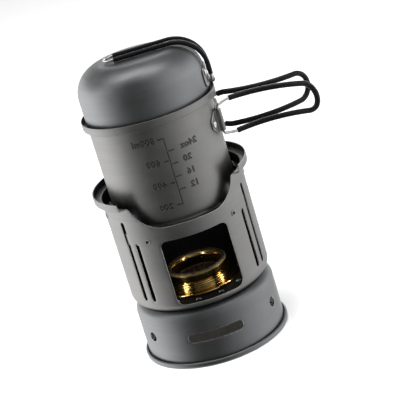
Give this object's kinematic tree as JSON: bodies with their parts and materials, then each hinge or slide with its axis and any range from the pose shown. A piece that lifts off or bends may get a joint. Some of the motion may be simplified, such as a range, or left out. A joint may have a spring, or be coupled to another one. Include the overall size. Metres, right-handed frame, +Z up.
{
  "type": "alcohol spirit stove",
  "caption": "Nested spirit stove: vented stand, perforated windscreen, brass spirit burner, pot with folding wire handles and a lid pan with a folding loop handle.",
  "frame": {"origin": "on the ground at the centre of the set's footprint box, which takes in the pot handles; the common axis of the stand, windscreen, burner, pot and lid stands 36.4 mm towards -X from it", "axes": "+Z up, the way the parts nest; +X towards the pot's and the lid's handles; -Y towards the windscreen's notch and window"},
  "size_m": [0.214, 0.138, 0.2773],
  "materials": {
    "aluminium": "satin hard-anodised grey",
    "dark_aluminium": "satin hard-anodised darker grey",
    "stainless": "bright drawn wire and pressed sheet",
    "brass": "bright with heat tarnish",
    "sleeve": "glossy black heat sleeve",
    "cotton": "woven cotton wick"
  },
  "bodies": {
    "stand": {"stand_base": "dark_aluminium"},
    "windscreen": {"windscreen": "aluminium", "pot_support_left": "stainless", "pot_support_right": "stainless", "pot_support_rear": "stainless", "support_rivet_left_1": "stainless", "support_rivet_left_2": "stainless", "support_rivet_right_1": "stainless", "support_rivet_right_2": "stainless", "support_rivet_rear_1": "stainless", "support_rivet_rear_2": "stainless"},
    "burner": {"burner_body": "brass", "burner_inner_cup": "brass", "burner_wick": "cotton"},
    "pot": {"pot_body": "aluminium", "pot_handle_bracket": "stainless", "pot_rivet_front": "stainless", "pot_rivet_rear": "stainless"},
    "handle_front": {"handle_front_wire": "stainless", "handle_front_sleeve": "sleeve"},
    "handle_rear": {"handle_rear_wire": "stainless", "handle_rear_sleeve": "sleeve"},
    "lid": {"lid_pan": "dark_aluminium", "lid_handle_bracket": "stainless", "lid_rivet_front": "stainless", "lid_rivet_rear": "stainless"},
    "lid_handle": {"lid_handle_wire": "stainless", "lid_handle_sleeve_front": "sleeve", "lid_handle_sleeve_rear": "sleeve"}
  },
  "joints": [
    {"name": "windscreen_lift", "type": "slide", "parent": "stand", "child": "windscreen", "axis": [0, 0, 1], "range_m": [0, 0.06]},
    {"name": "burner_lift", "type": "slide", "parent": "windscreen", "child": "burner", "axis": [0, 0, 1], "range_m": [0, 0.045]},
    {"name": "pot_lift", "type": "slide", "parent": "windscreen", "child": "pot", "axis": [0, 0, 1], "range_m": [0, 0.05]},
    {"name": "lid_lift", "type": "slide", "parent": "pot", "child": "lid", "axis": [0, 0, 1], "range_m": [0, 0.035]},
    {"name": "lid_handle_fold", "type": "hinge", "parent": "lid", "child": "lid_handle", "pos_m": [0.0236, -0.00161, 0.2335], "axis": [0, 1, 0], "range_deg": [0, 120]},
    {"name": "handle_front_fold", "type": "hinge", "parent": "pot", "child": "handle_front", "pos_m": [0.0204, -0.01901, 0.2], "axis": [0, 0, -1], "range_deg": [-6, 132]},
    {"name": "handle_rear_fold", "type": "hinge", "parent": "pot", "child": "handle_rear", "pos_m": [0.0204, 0.01579, 0.2], "axis": [0, 0, 1], "range_deg": [-2, 144]}
  ]
}
